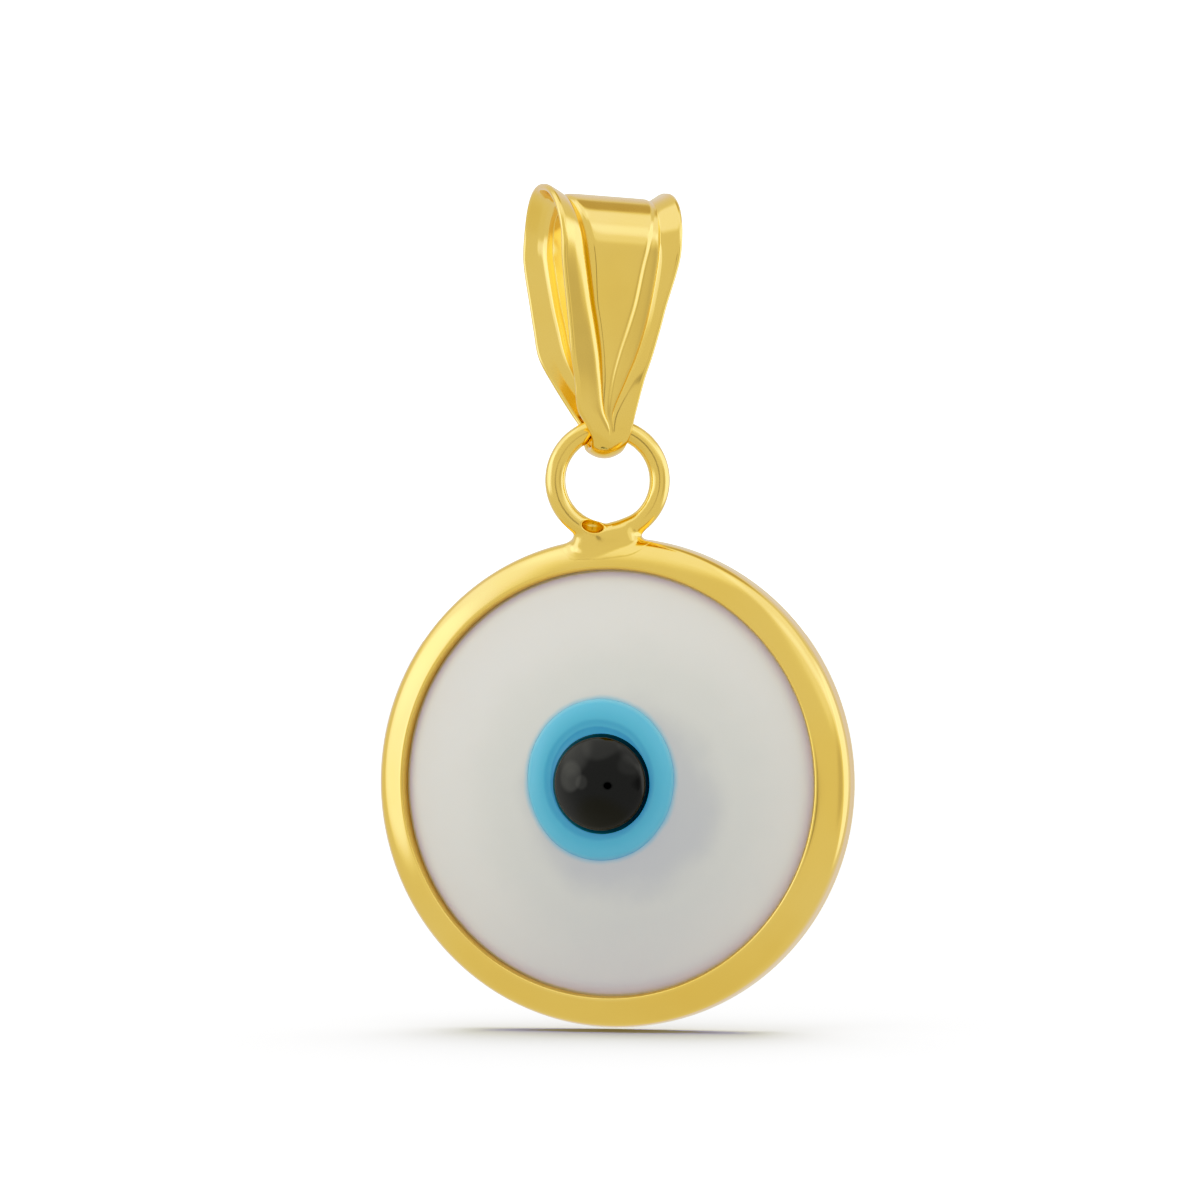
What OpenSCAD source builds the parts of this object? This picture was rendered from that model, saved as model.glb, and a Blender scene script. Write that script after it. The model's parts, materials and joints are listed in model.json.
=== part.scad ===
// Evil eye pendant: a domed white glass disc with a blue and black eye,
// held in a gold rim that hangs by a soldered ring from a folded sheet bail.
// Millimetres. +Z is up and the disc faces -Y.
// The origin is the chain seat, at the top of the inside of the bail.

/* [Rim] */
// Outside diameter of the gold rim
rim_d = 13; // [11.5:0.1:15]
// Depth of the rim from its front lip to its back edge
rim_depth = 1.35; // [1.2:0.05:1.8]
// Width of the rim's sloping front face, lip to side wall
rim_face_w = 0.76; // [0.6:0.02:0.9]
// Distance that the front face slopes back before the side wall starts
rim_face_drop = 0.46; // [0.3:0.02:0.5]
// Thickness of the rim's wall round the edge of the glass
rim_wall = 0.3; // [0.25:0.01:0.36]

/* [Glass] */
// Height of the dome's crown in front of the rim's lip
dome_rise = 0.83; // [0.6:0.01:1]
// Diameter of the light blue iris
iris_d = 4.14; // [3.4:0.02:5]
// Diameter of the black pupil
pupil_d = 2.68; // [1.6:0.02:2.8]
// Height of the iris's centre above the middle of the disc
iris_lift = 0.1; // [0:0.01:0.2]
// How far the iris's crown stands in front of the dome's crown
iris_rise = 0.12; // [0.08:0.01:0.2]
// How far the pupil's crown stands in front of the iris's crown
pupil_rise = 0.7; // [0.4:0.02:0.8]
// Gap kept all round between two pieces that are set into each other
set_gap = 0.03; // [0.02:0.01:0.04]

/* [Ring] */
// Diameter of the ring's wire
wire_d = 0.55; // [0.4:0.01:0.6]
// Inside diameter of the ring
ring_in_d = 2.22; // [2:0.02:2.6]
// Turn of the ring out of the plane of the disc, in degrees
ring_turn = 20; // [10:1:25]
// Radius of the solder's hollow curve on the ring's left
solder_left_r = 0.45; // [0.3:0.01:0.5]
// Radius of the solder's hollow curve on the ring's right
solder_right_r = 0.22; // [0.15:0.01:0.4]

/* [Bail] */
// Height of the opening, from the chain seat to the inside of the bottom fold
bail_h = 6.49; // [5.5:0.05:8]
// Width at the top, rim to rim
bail_top_w = 3.5; // [2.8:0.05:4]
// Width at the bottom fold, rim to rim
bail_tip_w = 0.5; // [0.44:0.02:0.6]
// Depth of the opening near the top, front leaf to back leaf
bail_open_d = 2.3; // [1.8:0.05:2.8]
// Depth of the opening inside the bottom fold
fold_open_d = 1.06; // [1:0.01:1.1]
// How far the chain seat lies behind the bottom fold
seat_back = 0.4; // [0:0.05:0.5]
// Thickness of the sheet
sheet_t = 0.2; // [0.16:0.01:0.24]
// How far the middle panel stands out from the valleys beside it
panel_rise = 0.12; // [0.08:0.01:0.16]
// How far the flared rims stand out from the valleys
flare_rise = 0.46; // [0.3:0.01:0.5]
// Turn of the bail out of the plane of the disc, in degrees
bail_turn = 35; // [28:1:40]
// Lean of the bail in its own plane, the fold to the left, in degrees
bail_lean = 2; // [0:0.5:3]

/* [Hidden] */
$fn = 144;

// The middle of the ring's wire where it hangs in the fold, first in the bail's own frame
wire_r = wire_d / 2;
ring_r = ring_in_d / 2 + wire_r;
wire_rest_gap = 0.24;
wire_drop = bail_h - wire_rest_gap - wire_r;
hang_across = -wire_drop * sin(bail_lean);
hang = [
    hang_across * cos(bail_turn) + seat_back * sin(bail_turn),
    hang_across * sin(bail_turn) - seat_back * cos(bail_turn),
    -wire_drop * cos(bail_lean)
];

// Places below the hanging point
rim_r = rim_d / 2;
ring_sink = 0.14;
ring_z = -ring_r;
disc_z = ring_z - ring_r - wire_r + ring_sink - rim_r;

// Depth of the rim's lip in front of the ring's wire, which hangs the disc upright
lip_y = -0.52;

// The glass body: a spherical front over a flat back, held by the rim's front and back lips
lip_r = rim_r - rim_face_w;
lip_w = 0.09;
lip_wall_h = 0.2;
back_lip_t = 0.25;
glass_edge_r = lip_r - lip_w;
glass_r = rim_r - rim_wall - set_gap;
glass_back = rim_depth - back_lip_t;
dome_h = dome_rise + lip_wall_h;
dome_r = (glass_edge_r * glass_edge_r + dome_h * dome_h) / (2 * dome_h);

// The rim's section: the creases that part its front face from its side wall, as shares of
// the face's width and drop, and how far its back lip reaches in and its back is rounded
face_crease = [0.8, 0.58];
wall_crease = [0.96, 0.82];
lip_edge = 0.03;
back_lip_r = lip_r + 0.1;
back_round = 0.24;
back_step = back_round * (1 - cos(45));

// The eye's caps: height of the surface that each one is set into, and the cap's radius
iris_r = iris_d / 2;
pupil_r = pupil_d / 2;
cap_step = 0.015;
iris_depth = 0.48;
pupil_depth = 0.36;
iris_crown = dome_rise + iris_rise;
iris_edge = cap_height(dome_r, dome_rise, iris_r) + cap_step;
iris_cap_r = cap_radius(iris_r, iris_crown - iris_edge);
pupil_crown = iris_crown + pupil_rise;
pupil_edge = cap_height(iris_cap_r, iris_crown, pupil_r) + cap_step;
pupil_cap_r = cap_radius(pupil_r, pupil_crown - pupil_edge);
iris_seat = dome_rise - iris_depth;
pupil_seat = iris_crown - pupil_depth;

// The solder: the bridge's thickness and turn, and the notch between the wire's two ends
solder_t = wire_d + 0.07;
solder_turn = ring_turn / 2;
solder_reach = 0.03;
notch_w = 0.32;
notch_h = 0.13;
notch_x = -0.1;
notch_over = 0.05;

// The bail's path in side view: a big circle under the chain seat, a small one at the
// fold, and a straight leaf that touches both on each side
top_in_r = bail_open_d / 2;
fold_in_r = fold_open_d / 2;
top_circle_z = -panel_rise - top_in_r;
fold_circle_z = -bail_h + fold_in_r;
path_tilt = atan2(seat_back, top_circle_z - fold_circle_z);
leaf_tilt = asin((top_in_r - fold_in_r) / norm([seat_back, top_circle_z - fold_circle_z]));
front_a = path_tilt - leaf_tilt;
back_a = 180 + path_tilt + leaf_tilt;
FOLD_STEPS = 6;
LEAF_STEPS = 9;
TOP_STEPS = 18;

// The bail's section by height. Columns: share of the height, 0 at the fold and 1 at the
// top; half the width, half the panel and the width of a valley, all as shares of half the
// top width; share of flare_rise; share of panel_rise
HEIGHT = 0;
WIDTH = 1;
PANEL = 2;
VALLEY = 3;
FLARE = 4;
RAISED = 5;
BAIL_ROWS = [
    [0.00, 0.00, 0.02, 0.04, 0.00, 0.0],
    [0.06, 0.14, 0.02, 0.05, 0.30, 0.0],
    [0.15, 0.26, 0.03, 0.08, 0.60, 0.3],
    [0.40, 0.58, 0.14, 0.22, 0.85, 1.0],
    [0.70, 0.80, 0.36, 0.25, 1.00, 1.0],
    [1.00, 1.00, 0.59, 0.23, 0.72, 1.0]
];
panel_step_share = 0.35;

// The curve of a flared rim from the valley outward, as shares of its width and its flare
FLARE_CURVE = [[0, 0], [0.35, 0.25], [0.7, 0.62], [1, 1]];

function cap_height(r, crown, x) = crown - r + sqrt(r * r - x * x);
function cap_radius(half, rise) = (half * half + rise * rise) / (2 * rise);

// A column of the bail's table at a share of its height, on a smooth curve through the rows
function row_below(s, i = 0) =
    (i >= len(BAIL_ROWS) - 2 || BAIL_ROWS[i + 1][HEIGHT] >= s) ? i : row_below(s, i + 1);
function row_slope(i, c) =
    let (a = BAIL_ROWS[max(i - 1, 0)])
    let (b = BAIL_ROWS[min(i + 1, len(BAIL_ROWS) - 1)])
    (b[c] - a[c]) / (b[HEIGHT] - a[HEIGHT]);
function column(s, c) =
    let (i = row_below(s))
    let (a = BAIL_ROWS[i])
    let (b = BAIL_ROWS[i + 1])
    let (h = b[HEIGHT] - a[HEIGHT])
    let (t = (s - a[HEIGHT]) / h)
    let (smooth = t * t * (3 - 2 * t))
    a[c] + (b[c] - a[c]) * smooth
        + h * t * (1 - t) * (row_slope(i, c) * (1 - t) - row_slope(i + 1, c) * t);

// One side of the section from the middle to the rim, as [across, out from the valley]
function half_section(s) =
    let (top_half = bail_top_w / 2)
    let (tip_half = bail_tip_w / 2)
    let (half_w = tip_half + (top_half - tip_half) * column(s, WIDTH))
    let (panel = top_half * column(s, PANEL))
    let (valley = top_half * column(s, VALLEY))
    let (wing = half_w - panel - valley)
    let (raised = panel_rise * column(s, RAISED))
    let (flare = flare_rise * column(s, FLARE))
    concat(
        [[panel, raised], [panel + valley * panel_step_share, 0]],
        [for (p = FLARE_CURVE) [panel + valley + wing * p[0], flare * p[1]]]
    );

// The whole section, left rim to right rim
function section(s) =
    let (half = half_section(s))
    let (last = len(half) - 1)
    concat(
        [for (i = [last:-1:0]) [-half[i][0], half[i][1]]],
        [[0, half[0][1]]],
        half
    );

// The path's stations, as [forward, up, outward angle], from the fold up the front leaf,
// over the top and down the back leaf
function on_fold(a) =
    [seat_back + fold_in_r * cos(a), fold_circle_z + fold_in_r * sin(a), a];
function on_top(a) =
    [top_in_r * cos(a), top_circle_z + top_in_r * sin(a), a];
function on_leaf(a, t) = on_fold(a) + (on_top(a) - on_fold(a)) * t;
STATIONS = concat(
    [for (i = [0:FOLD_STEPS]) on_fold(-90 + (90 + front_a) * i / FOLD_STEPS)],
    [for (i = [1:LEAF_STEPS - 1]) on_leaf(front_a, i / LEAF_STEPS)],
    [for (i = [0:TOP_STEPS]) on_top(front_a + (back_a - front_a) * i / TOP_STEPS)],
    [for (i = [LEAF_STEPS - 1:-1:1]) on_leaf(back_a, i / LEAF_STEPS)],
    [for (i = [0:FOLD_STEPS - 1]) on_fold(back_a + (270 - back_a) * i / FOLD_STEPS)]
);

// The points round the sheet's section at one station: outside left to right, inside back
function station_points(st) =
    let (low = -bail_h)
    let (s = min(1, max(0, (st[1] - low) / (-panel_rise - low))))
    let (row = section(s))
    let (n = len(row))
    let (back = [for (i = [n - 1:-1:0]) row[i]])
    concat(
        [for (p = row) sheet_point(st, p[0], p[1] + sheet_t)],
        [for (p = back) sheet_point(st, p[0], p[1])]
    );
function sheet_point(st, across, out) = [
    across,
    -(st[0] + out * cos(st[2])),
    st[1] + out * sin(st[2])
];

// The folded sheet bail
module bail() {
    rings = [for (st = STATIONS) station_points(st)];
    m = len(rings);
    n = len(rings[0]);
    points = [for (r = rings) each r];
    faces = [
        for (i = [0:m - 1])
        for (j = [0:n - 1])
        let (i2 = (i + 1) % m)
        let (j2 = (j + 1) % n)
        each [
            [i * n + j, i2 * n + j2, i * n + j2],
            [i * n + j, i2 * n + j, i2 * n + j2]
        ]
    ];
    color("gold")
        rotate([0, 0, bail_turn])
        rotate([0, bail_lean, 0])
        polyhedron(points, faces, convexity = 8);
}

// Places its children with their local +Z along the disc's axis, towards the front,
// from the plane of the rim's lip
module on_disc(lift = 0) {
    translate(hang + [0, lip_y, disc_z + lift])
        rotate([90, 0, 0])
        children();
}

// The body of the glass, grown all round by a gap
module glass_body(gap = 0) {
    intersection() {
        translate([0, 0, dome_rise - dome_r])
            sphere(r = dome_r + gap);
        translate([0, 0, -glass_back - gap])
            cylinder(r = glass_r + gap, h = glass_back + 2 * dome_rise);
    }
}

// The rim's section from the front lip out over the side wall to the back lip
module rim_section() {
    polygon([
        [glass_edge_r, -lip_wall_h - set_gap],
        [glass_edge_r, -lip_wall_h],
        [lip_r - lip_edge, -lip_edge],
        [lip_r + lip_edge, 0],
        [lip_r + rim_face_w * face_crease[0], -rim_face_drop * face_crease[1]],
        [lip_r + rim_face_w * wall_crease[0], -rim_face_drop * wall_crease[1]],
        [rim_r, -rim_face_drop],
        [rim_r, -rim_depth + back_round],
        [rim_r - back_step, -rim_depth + back_step],
        [rim_r - back_round, -rim_depth],
        [back_lip_r, -rim_depth]
    ]);
}

// Places its children upright in a plane turned from the disc's, round the ring's centre
module on_ring(turn) {
    translate(hang + [0, 0, ring_z])
        rotate([0, 0, turn])
        rotate([90, 0, 0])
        children();
}

// The wire ring
module ring() {
    on_ring(ring_turn)
        rotate_extrude()
        translate([ring_r, 0])
        circle(r = wire_r);
}

// The centre of a round hollow that touches the ring's outside and the rim's outside
function hollow_centre(r, side) =
    let (d = ring_z - disc_z)
    let (a = ring_r + wire_r + r)
    let (b = rim_r + r)
    let (down = (a * a - b * b + d * d) / (2 * d))
    [side * sqrt(a * a - down * down), -down];

// The solder bridge between the ring and the rim, hollow on both sides
module solder() {
    left = hollow_centre(solder_left_r, -1);
    right = hollow_centre(solder_right_r, 1);
    disc = [0, disc_z - ring_z];
    on_ring(solder_turn)
        linear_extrude(height = solder_t, center = true)
        difference() {
            polygon([[0, 0], left, disc, right]);
            circle(r = ring_r);
            translate(left) circle(r = solder_left_r);
            translate(right) circle(r = solder_right_r);
            translate(disc) circle(r = glass_r + set_gap + solder_reach);
        }
}

// The small notch between the two ends of the ring's wire
module wire_end_notch() {
    on_ring(ring_turn)
        translate([notch_x, -ring_in_d / 2])
        linear_extrude(height = wire_d * 3, center = true)
        polygon([[-notch_w / 2, notch_over], [notch_w / 2, notch_over], [0, -notch_h]]);
}

// The gold rim, the ring and their solder, which are one piece
module setting() {
    color("gold")
        difference() {
            union() {
                on_disc() rotate_extrude() rim_section();
                ring();
                solder();
            }
            on_disc() glass_body(set_gap);
            wire_end_notch();
        }
}

// The white glass, with a round seat for the iris
module glass_disc() {
    color("white")
        difference() {
            on_disc() glass_body();
            on_disc(iris_lift)
                translate([0, 0, iris_seat])
                cylinder(r = iris_r + set_gap, h = dome_rise);
        }
}

// The light blue cap, with a round seat for the pupil
module iris() {
    color("skyblue")
        difference() {
            on_disc(iris_lift)
                eye_cap(iris_r, iris_cap_r, iris_crown, iris_seat + set_gap);
            on_disc()
                translate([0, 0, pupil_seat])
                cylinder(r = pupil_r + set_gap, h = iris_crown);
        }
}

// The black cap
module pupil() {
    color("black")
        on_disc()
        eye_cap(pupil_r, pupil_cap_r, pupil_crown, pupil_seat + set_gap);
}

// A round plug with a domed front
module eye_cap(r, cap_r, crown, seat) {
    intersection() {
        translate([0, 0, crown - cap_r])
            sphere(r = cap_r);
        translate([0, 0, seat])
            cylinder(r = r, h = crown);
    }
}

bail();
setting();
glass_disc();
iris();
pupil();
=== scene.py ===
import json
import math

import bpy
import numpy as np
from mathutils import Matrix, Vector


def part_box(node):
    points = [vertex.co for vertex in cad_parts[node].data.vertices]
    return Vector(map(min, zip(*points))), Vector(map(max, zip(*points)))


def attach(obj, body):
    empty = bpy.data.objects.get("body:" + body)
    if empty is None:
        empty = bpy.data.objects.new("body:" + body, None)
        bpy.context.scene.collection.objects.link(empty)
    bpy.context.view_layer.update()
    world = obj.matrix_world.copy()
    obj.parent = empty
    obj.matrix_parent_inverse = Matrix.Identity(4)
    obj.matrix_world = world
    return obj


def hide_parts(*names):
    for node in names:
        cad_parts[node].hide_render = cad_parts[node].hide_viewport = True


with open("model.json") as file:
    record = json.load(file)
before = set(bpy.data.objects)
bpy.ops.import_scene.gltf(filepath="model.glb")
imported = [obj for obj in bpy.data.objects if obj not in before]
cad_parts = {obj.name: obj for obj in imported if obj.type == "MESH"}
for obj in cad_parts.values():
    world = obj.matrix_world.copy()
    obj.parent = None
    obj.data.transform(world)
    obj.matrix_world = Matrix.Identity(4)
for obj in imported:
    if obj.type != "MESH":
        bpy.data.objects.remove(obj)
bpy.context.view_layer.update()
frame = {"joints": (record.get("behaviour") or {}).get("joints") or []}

# Evil eye pendant. Sizes are in millimetres until a mesh is finished, in the frame of the
# model: +Z up, the glass facing -Y, the origin at the chain seat inside the bail's top.
MM = 0.001


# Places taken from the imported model, whose rim's front lip lies in front of the ring's middle
LIP_AHEAD = 0.52


def node_box(name):
    low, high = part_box(name)
    return np.array(low) / MM, np.array(high) / MM


hang = np.array(frame["joints"][0]["pos_m"]) / MM
glass_low, glass_high = node_box("glass_disc")
setting_low, setting_high = node_box("setting")
iris_low, iris_high = node_box("iris")
pupil_low, pupil_high = node_box("pupil")

rim_r = (setting_high[0] - setting_low[0]) / 2
disc_x = (glass_low[0] + glass_high[0]) / 2
disc_z = (glass_low[2] + glass_high[2]) / 2
lip_y = hang[1] - LIP_AHEAD
glass_back = glass_high[1] - lip_y
glass_r = (glass_high[0] - glass_low[0]) / 2
dome_rise = lip_y - glass_low[1]
iris_r = (iris_high[0] - iris_low[0]) / 2
iris_z = (iris_high[2] + iris_low[2]) / 2
iris_rise = lip_y - iris_low[1]
pupil_r = (pupil_high[0] - pupil_low[0]) / 2
pupil_rise = lip_y - pupil_low[1]


def towards(azimuth, elevation):
    """The direction of a place round the pendant; azimuth 0 is in front of the glass."""
    a, e = math.radians(azimuth), math.radians(elevation)
    return Vector((math.sin(a) * math.cos(e), -math.cos(a) * math.cos(e), math.sin(e)))


# Mesh helpers

def mesh_object(name, points, faces, material):
    """A smooth mesh object from points in millimetres."""
    mesh = bpy.data.meshes.new(name)
    mesh.from_pydata((np.asarray(points) * MM).tolist(), [], np.asarray(faces).tolist())
    mesh.polygons.foreach_set("use_smooth", [True] * len(mesh.polygons))
    mesh.materials.append(material)
    mesh.validate()
    thing = bpy.data.objects.new(name, mesh)
    bpy.context.scene.collection.objects.link(thing)
    return thing


def finish_piece(thing, body, node):
    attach(thing, body)
    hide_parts(node)


def rounded_line(points, radius, step):
    """An open line resampled at an even step, its corners rounded to about a radius."""
    points = np.asarray(points, float)
    lengths = np.linalg.norm(np.diff(points, axis=0), axis=1)
    along = np.concatenate([[0], np.cumsum(lengths)])
    count = max(int(along[-1] / step), 8)
    reach = np.linspace(0, along[-1], count + 1)
    line = np.stack([np.interp(reach, along, points[:, i]) for i in (0, 1)], 1)
    width = max(int(radius / (along[-1] / count)), 1)
    kernel = np.hanning(2 * width + 3)[1:-1]
    kernel /= kernel.sum()
    ends = len(kernel) // 2
    before = 2 * line[0] - line[ends:0:-1]
    after = 2 * line[-1] - line[-2:-ends - 2:-1]
    padded = np.concatenate([before, line, after])
    return np.stack([np.convolve(padded[:, i], kernel, "valid") for i in (0, 1)], 1)


def smooth_step(low, high, value):
    t = np.clip((value - low) / (high - low), 0, 1)
    return t * t * (3 - 2 * t)


def smooth_min(a, b, blend):
    """The nearer of two distances, rounded over where they meet."""
    h = np.clip(0.5 + 0.5 * (b - a) / blend, 0, 1)
    return b + (a - b) * h - blend * h * (1 - h)


# Shader helpers

def new_material(name):
    material = bpy.data.materials.new(name)
    material.use_nodes = True
    nodes = material.node_tree.nodes
    return material, nodes, material.node_tree.links, nodes["Principled BSDF"]


def new_group(name, kind, inputs, outputs):
    """A node group with named sockets, and its input and output nodes."""
    group = bpy.data.node_groups.new(name, kind)
    for label, socket, value in inputs:
        made = group.interface.new_socket(label, in_out="INPUT", socket_type=socket)
        if value is not None:
            made.default_value = value
    for label, socket in outputs:
        group.interface.new_socket(label, in_out="OUTPUT", socket_type=socket)
    return group, group.nodes.new("NodeGroupInput"), group.nodes.new("NodeGroupOutput")


def place_group(nodes, group, **values):
    node = nodes.new("ShaderNodeGroup")
    node.node_tree = group
    for label, value in values.items():
        node.inputs[label.replace("_", " ").capitalize()].default_value = value
    return node


def math_node(tree, operation, a, b=None, c=None):
    node = tree.nodes.new("ShaderNodeMath")
    node.operation = operation
    for socket, value in zip(node.inputs, (a, b, c)):
        if isinstance(value, (int, float)):
            socket.default_value = value
        elif value is not None:
            tree.links.new(value, socket)
    return node.outputs[0]


# Finishes

def hand_polish_group():
    """Buffed metal or glass: soft waves, fine hairlines and patches that are less bright."""
    group, enter, leave = new_group(
        "Hand polish",
        "ShaderNodeTree",
        [
            ("Wave size", "NodeSocketFloat", 900.0),
            ("Hairline size", "NodeSocketFloat", 9000.0),
            ("Hairline share", "NodeSocketFloat", 0.15),
            ("Bright roughness", "NodeSocketFloat", 0.1),
            ("Dull roughness", "NodeSocketFloat", 0.2),
        ],
        [("Roughness", "NodeSocketFloat"), ("Height", "NodeSocketFloat")],
    )
    place = group.nodes.new("ShaderNodeTexCoord")
    wave = group.nodes.new("ShaderNodeTexNoise")
    wave.inputs["Detail"].default_value = 1.5
    group.links.new(place.outputs["Object"], wave.inputs["Vector"])
    group.links.new(enter.outputs["Wave size"], wave.inputs["Scale"])

    stretch = group.nodes.new("ShaderNodeMapping")
    stretch.inputs["Rotation"].default_value = (0.3, 0.5, 0.9)
    stretch.inputs["Scale"].default_value = (1.0, 0.07, 0.3)
    hairline = group.nodes.new("ShaderNodeTexNoise")
    hairline.inputs["Detail"].default_value = 3.0
    group.links.new(place.outputs["Object"], stretch.inputs["Vector"])
    group.links.new(stretch.outputs["Vector"], hairline.inputs["Vector"])
    group.links.new(enter.outputs["Hairline size"], hairline.inputs["Scale"])

    lines = math_node(group, "MULTIPLY", hairline.outputs["Fac"], enter.outputs["Hairline share"])
    height = math_node(group, "ADD", wave.outputs["Fac"], lines)
    patch = group.nodes.new("ShaderNodeMapRange")
    patch.inputs["From Min"].default_value = 0.35
    patch.inputs["From Max"].default_value = 0.7
    group.links.new(wave.outputs["Fac"], patch.inputs["Value"])
    group.links.new(enter.outputs["Bright roughness"], patch.inputs["To Min"])
    group.links.new(enter.outputs["Dull roughness"], patch.inputs["To Max"])
    group.links.new(patch.outputs["Result"], leave.inputs["Roughness"])
    group.links.new(height, leave.inputs["Height"])
    return group


def off_centre_group():
    """Distance from the middle of the eye across the disc, in metres, with molten wavers."""
    group, enter, leave = new_group(
        "Off the eye's middle",
        "ShaderNodeTree",
        [
            ("Middle", "NodeSocketVector", (0.0, 0.0, 0.0)),
            ("Stretch", "NodeSocketVector", (1.0, 0.0, 1.0)),
            ("Waver size", "NodeSocketFloat", 700.0),
            ("Waver", "NodeSocketFloat", 0.0001),
        ],
        [("Distance", "NodeSocketFloat"), ("Mottle", "NodeSocketFloat")],
    )
    place = group.nodes.new("ShaderNodeTexCoord")
    across = group.nodes.new("ShaderNodeVectorMath")
    across.operation = "SUBTRACT"
    group.links.new(place.outputs["Object"], across.inputs[0])
    group.links.new(enter.outputs["Middle"], across.inputs[1])
    flat = group.nodes.new("ShaderNodeVectorMath")
    flat.operation = "MULTIPLY"
    group.links.new(across.outputs["Vector"], flat.inputs[0])
    group.links.new(enter.outputs["Stretch"], flat.inputs[1])
    length = group.nodes.new("ShaderNodeVectorMath")
    length.operation = "LENGTH"
    group.links.new(flat.outputs["Vector"], length.inputs[0])
    noise = group.nodes.new("ShaderNodeTexNoise")
    noise.inputs["Detail"].default_value = 3.0
    group.links.new(place.outputs["Object"], noise.inputs["Vector"])
    group.links.new(enter.outputs["Waver size"], noise.inputs["Scale"])
    centred = math_node(group, "SUBTRACT", noise.outputs["Fac"], 0.5)
    waver = math_node(group, "MULTIPLY", centred, enter.outputs["Waver"])
    distance = math_node(group, "ADD", length.outputs["Value"], waver)
    group.links.new(distance, leave.inputs["Distance"])
    group.links.new(noise.outputs["Fac"], leave.inputs["Mottle"])
    return group


HAND_POLISH = hand_polish_group()
OFF_CENTRE = off_centre_group()

# The eye is a little taller than wide. The grey halo in the white glass is partly the eye's colour
# seen through it and partly painted shade, its middle set off to the lower right of the eye's
EYE_OVAL = (0.982, 1.033)
EYE_MIDDLE = (disc_x * MM, 0.0, iris_z * MM)
EYE_STRETCH = (1 / EYE_OVAL[0], 0.0, 1 / EYE_OVAL[1])
HALO_AND_PAINTED_SHADE_MIDDLE = ((disc_x + 0.55) * MM, 0.0, (iris_z - 0.5) * MM)


def add_bump(nodes, links, shader, height, distance):
    bump = nodes.new("ShaderNodeBump")
    bump.inputs["Distance"].default_value = distance
    links.new(height, bump.inputs["Height"])
    links.new(bump.outputs["Normal"], shader.inputs["Normal"])


def ramp_node(nodes, links, value, stops):
    """A colour ramp over a distance in metres, from (millimetres, colour) stops."""
    reach = stops[-1][0]
    share = nodes.new("ShaderNodeMapRange")
    share.inputs["From Max"].default_value = reach * MM
    links.new(value, share.inputs["Value"])
    ramp = nodes.new("ShaderNodeValToRGB")
    ramp.color_ramp.interpolation = "EASE"
    elements = ramp.color_ramp.elements
    while len(elements) < len(stops):
        elements.new(0.5)
    for element, (place, colour) in zip(elements, stops):
        element.position = place / reach
        element.color = (*colour, 1.0)
    links.new(share.outputs["Result"], ramp.inputs["Fac"])
    return ramp.outputs["Color"]


def polished_gold(name, bright, dull, waves):
    material, nodes, links, shader = new_material(name)
    shader.inputs["Metallic"].default_value = 1.0
    polish = place_group(
        nodes, HAND_POLISH, wave_size=waves, bright_roughness=bright, dull_roughness=dull
    )
    links.new(polish.outputs["Roughness"], shader.inputs["Roughness"])
    add_bump(nodes, links, shader, polish.outputs["Height"], distance=0.0000025)
    tone = nodes.new("ShaderNodeTexNoise")
    tone.inputs["Scale"].default_value = 400.0
    place = nodes.new("ShaderNodeTexCoord")
    links.new(place.outputs["Object"], tone.inputs["Vector"])
    ramp = nodes.new("ShaderNodeValToRGB")
    ramp.color_ramp.elements[0].position = 0.3
    ramp.color_ramp.elements[0].color = (0.925, 0.645, 0.175, 1.0)
    ramp.color_ramp.elements[1].position = 0.7
    ramp.color_ramp.elements[1].color = (0.94, 0.67, 0.20, 1.0)
    links.new(tone.outputs["Fac"], ramp.inputs["Fac"])
    links.new(ramp.outputs["Color"], shader.inputs["Base Color"])
    return material


def white_glass():
    material, nodes, links, shader = new_material("Opal white glass")
    eye = place_group(nodes, OFF_CENTRE, middle=HALO_AND_PAINTED_SHADE_MIDDLE, waver_size=900.0, waver=0.0008)
    # Painted shade: the white glass is painted greyer round the eye and darker below and right of
    # it, besides the tint of the eye seen through it
    tint_and_painted_shade = ramp_node(nodes, links, eye.outputs["Distance"], [
        (0.0, (0.59, 0.61, 0.62)),
        (2.0, (0.645, 0.655, 0.65)),
        (3.1, (0.77, 0.77, 0.755)),
        (4.8, (0.83, 0.815, 0.80)),
        (6.3, (0.83, 0.80, 0.78)),
    ])
    near = place_group(
        nodes, OFF_CENTRE, middle=EYE_MIDDLE, stretch=EYE_STRETCH, waver_size=1300.0, waver=0.0001
    )
    bleed = nodes.new("ShaderNodeMapRange")
    bleed.interpolation_type = "SMOOTHSTEP"
    bleed.inputs["From Min"].default_value = (iris_r + 0.14) * MM
    bleed.inputs["From Max"].default_value = (iris_r - 0.06) * MM
    links.new(near.outputs["Distance"], bleed.inputs["Value"])
    stained = nodes.new("ShaderNodeMix")
    stained.data_type = "RGBA"
    links.new(bleed.outputs["Result"], stained.inputs["Factor"])
    links.new(tint_and_painted_shade, stained.inputs[6])
    stained.inputs[7].default_value = (0.28, 0.62, 0.82, 1.0)
    links.new(stained.outputs[2], shader.inputs["Base Color"])
    shader.inputs["Subsurface Weight"].default_value = 0.3
    shader.inputs["Subsurface Radius"].default_value = (1.0, 0.9, 0.8)
    shader.inputs["Subsurface Scale"].default_value = 0.0005
    polish = place_group(
        nodes, HAND_POLISH, wave_size=1500.0, hairline_size=14000.0, hairline_share=0.5,
        bright_roughness=0.42, dull_roughness=0.55
    )
    links.new(polish.outputs["Roughness"], shader.inputs["Roughness"])
    add_bump(nodes, links, shader, polish.outputs["Height"], distance=0.0000015)
    return material


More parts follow.
